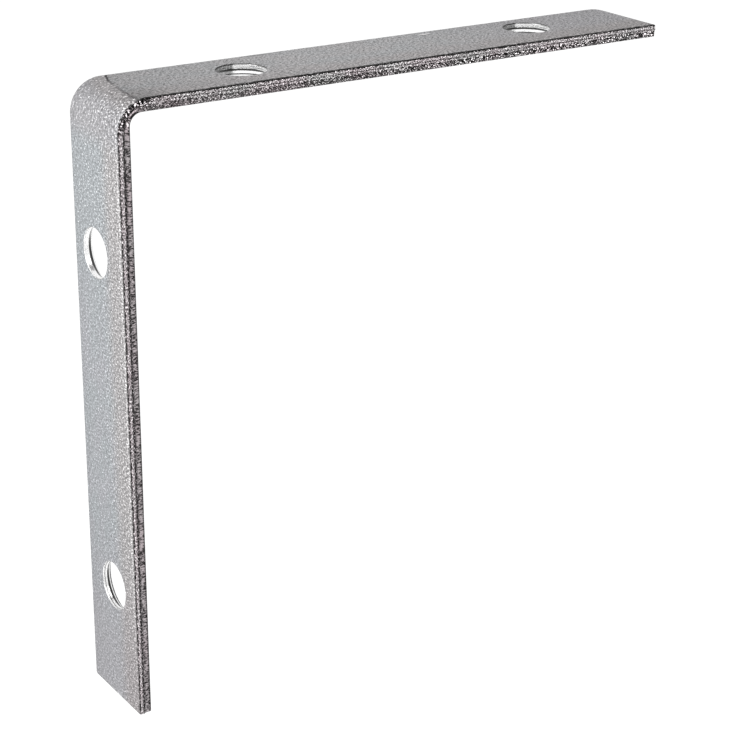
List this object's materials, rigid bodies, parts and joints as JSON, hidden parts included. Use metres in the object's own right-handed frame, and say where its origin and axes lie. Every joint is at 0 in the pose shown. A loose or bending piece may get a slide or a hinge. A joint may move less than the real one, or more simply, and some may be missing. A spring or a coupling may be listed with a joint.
{
  "type": "corner brace bracket",
  "caption": "Right-angle corner brace: a flat zinc-plated steel strap bent once, with countersunk screw holes through both legs, that holds a shelf or frame corner square.",
  "frame": {"origin": "the outer corner: where the plane of the wall leg's outer face and the plane of the shelf leg's outer face meet, in the middle of the strap's width", "axes": "-X out of the wall face, +Z out of the shelf face, Y across the strap; the wall leg hangs down along -Z and the shelf leg reaches out along +X"},
  "size_m": [0.1, 0.016, 0.1],
  "materials": {
    "zinc_plate": "dull zinc plate with a fine grain"
  },
  "bodies": {
    "root": {"bracket": "zinc_plate"}
  },
  "joints": []
}
